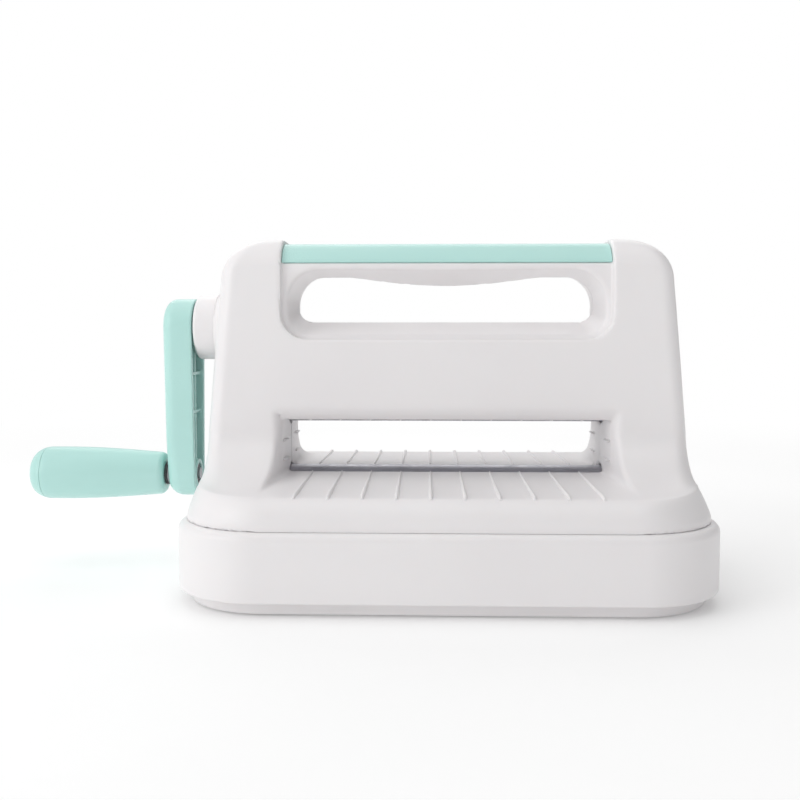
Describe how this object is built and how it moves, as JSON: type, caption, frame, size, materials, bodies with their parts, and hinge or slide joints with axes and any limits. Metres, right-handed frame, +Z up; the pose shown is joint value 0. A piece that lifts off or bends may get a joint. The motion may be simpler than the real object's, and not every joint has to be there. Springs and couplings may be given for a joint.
{
  "type": "die cutting machine",
  "caption": "Hand-cranked tabletop die cutting machine: white moulded body with a carrying handle, a feed slot between two geared steel rollers, and a mint crank with a spinning grip.",
  "frame": {"origin": "on the table, under the middle of the base (the four feet stand on Z = 0; X = Y = 0 is the middle of the base and of the feed slot)", "axes": "+X to the right, away from the crank; +Y to the back, the direction in which plates are fed through; +Z up"},
  "size_m": [0.3423, 0.192, 0.17],
  "materials": {
    "white_shell": "satin moulded plastic",
    "mint_plastic": "satin moulded plastic",
    "roller_steel": "ground",
    "frame_steel": "zinc plated",
    "screw_steel": "blackened",
    "bush_bronze": "sintered",
    "gear_nylon": "natural nylon",
    "foot_rubber": "matte"
  },
  "bodies": {
    "machine_body": {"front_cover": "white_shell", "rear_cover": "white_shell", "base_skirt": "white_shell", "bottom_tray": "white_shell", "rubber_feet": "foot_rubber", "handle_trim": "mint_plastic", "crank_collar": "white_shell", "left_side_plate": "frame_steel", "right_side_plate": "frame_steel", "tie_rods": "frame_steel", "tie_rod_screws": "screw_steel", "bearing_plate": "frame_steel", "bearing_spacers": "frame_steel", "bearing_plate_screws": "screw_steel", "roller_bushes": "bush_bronze", "crank_bushes": "bush_bronze", "frame_screws": "screw_steel", "tray_screws": "screw_steel", "cover_screws": "screw_steel", "handle_screws": "screw_steel"},
    "upper_roller_set": {"upper_roller": "roller_steel", "upper_roller_gear": "gear_nylon", "upper_roller_clips": "screw_steel"},
    "lower_roller_set": {"lower_roller": "roller_steel", "lower_roller_gear": "gear_nylon", "lower_roller_clips": "screw_steel"},
    "crank_set": {"crank_shaft": "frame_steel", "drive_pinion": "gear_nylon", "crank_shaft_clips": "screw_steel", "crank_arm": "mint_plastic", "crank_screw": "screw_steel", "crank_cap": "mint_plastic", "grip_axle": "frame_steel", "axle_nut": "screw_steel", "grip_washer": "screw_steel"},
    "grip_set": {"crank_grip": "mint_plastic", "grip_cap": "mint_plastic"}
  },
  "joints": [
    {"name": "crank_turn", "type": "hinge", "parent": "machine_body", "child": "crank_set", "pos_m": [-0.1246, 0, 0.1259], "axis": [1, 0, 0], "continuous": true},
    {"name": "grip_spin", "type": "hinge", "parent": "crank_set", "child": "grip_set", "pos_m": [-0.18, 0, 0.0494], "axis": [1, 0, 0], "continuous": true},
    {"name": "upper_roller_spin", "type": "hinge", "parent": "machine_body", "child": "upper_roller_set", "pos_m": [0, 0, 0.0884], "axis": [1, 0, 0], "continuous": true},
    {"name": "lower_roller_spin", "type": "hinge", "parent": "machine_body", "child": "lower_roller_set", "pos_m": [0, 0, 0.0434], "axis": [1, 0, 0], "continuous": true}
  ],
  "couplings": [
    {"joint": "upper_roller_spin", "follows": "crank_turn", "ratio": -0.66667},
    {"joint": "lower_roller_spin", "follows": "crank_turn", "ratio": 0.66667}
  ]
}
